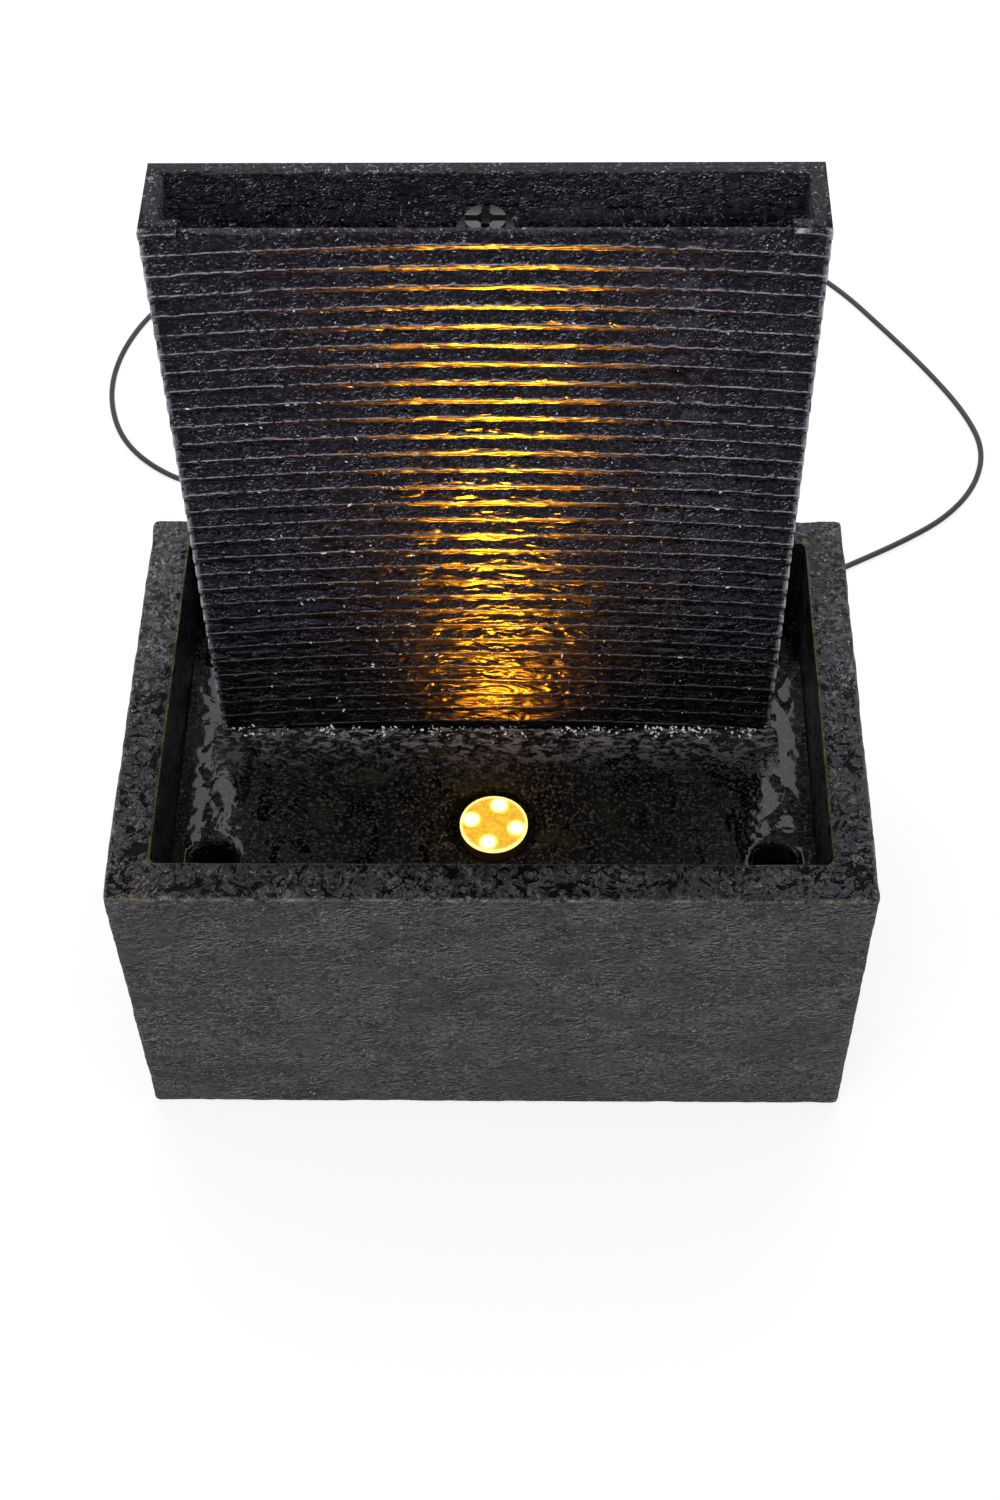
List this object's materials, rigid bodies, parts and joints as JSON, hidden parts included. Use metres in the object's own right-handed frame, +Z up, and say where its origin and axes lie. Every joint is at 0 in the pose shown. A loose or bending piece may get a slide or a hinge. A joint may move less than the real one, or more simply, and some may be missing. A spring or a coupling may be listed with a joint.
{
  "type": "garden fountain",
  "caption": "Garden fountain: a cast basin holds a lift-out tray with a light, an upright ridged water wall with a trough on top, and a pump below that lifts the water.",
  "frame": {"origin": "centre of the basin's footprint, on the ground that it stands on", "axes": "+Z up, -Y towards the viewer (the ridged face looks along -Y), +X to the viewer's right"},
  "size_m": [0.7997, 0.9801, 0.647],
  "materials": {
    "cast_stone": "matte",
    "tray_stone": "gloss",
    "wall_stone": "gloss",
    "cover_panel": "matte",
    "steel": "satin",
    "black_plastic": "satin",
    "dial_plastic": "satin",
    "light_housing": "satin",
    "black_rubber": "matte",
    "hose": "satin",
    "cord_sheath": "satin",
    "rotor_magnet": "matte",
    "shaft_ceramic": "polished",
    "pin_metal": "polished",
    "light_board": "matte",
    "lamp": "gloss",
    "light_lens": "gloss"
  },
  "bodies": {
    "basin": {"basin": "cast_stone", "cord_bush": "black_rubber", "pump_body": "black_plastic", "suction_cups": "black_rubber", "pump_volute": "black_plastic", "rotor_shaft": "shaft_ceramic", "shaft_bushes": "black_rubber", "pump_gland": "black_rubber", "pump_lead": "cord_sheath", "power_cord": "cord_sheath", "plug_body": "cord_sheath", "plug_pins": "pin_metal"},
    "tray": {"tray": "tray_stone", "led_housing": "light_housing", "led_seal": "black_rubber", "led_board": "light_board", "led_domes": "lamp", "led_lens": "light_lens", "led_lock_ring": "black_plastic", "led_lead": "cord_sheath", "led_plug": "cord_sheath"},
    "wall": {"water_wall": "wall_stone", "wall_back_cover": "cover_panel", "cover_screws": "steel", "spout": "black_plastic", "spout_nut": "black_plastic", "riser_hose": "hose", "hose_clip_upper": "steel", "hose_clip_lower": "steel"},
    "rotor": {"pump_rotor": "rotor_magnet"},
    "strainer": {"pump_strainer": "black_plastic"},
    "dial": {"flow_dial": "dial_plastic"},
    "bung": {"drain_plug": "black_rubber"}
  },
  "joints": [
    {"name": "tray_lift", "type": "slide", "parent": "basin", "child": "tray", "axis": [0, 0, 1], "range_m": [0, 0.25]},
    {"name": "wall_lift", "type": "slide", "parent": "tray", "child": "wall", "axis": [0, 0, 1], "range_m": [0, 0.2]},
    {"name": "rotor_spin", "type": "hinge", "parent": "basin", "child": "rotor", "pos_m": [-0.01, 0.061, 0.054], "axis": [0, 1, 0], "continuous": true},
    {"name": "strainer_pull", "type": "slide", "parent": "basin", "child": "strainer", "axis": [0, -1, 0], "range_m": [0, 0.045]},
    {"name": "dial_turn", "type": "hinge", "parent": "strainer", "child": "dial", "pos_m": [-0.01, 0.035, 0.054], "axis": [0, -1, 0], "range_deg": [0, 90]},
    {"name": "bung_pull", "type": "slide", "parent": "basin", "child": "bung", "axis": [0, 1, 0], "range_m": [0, 0.04]}
  ]
}
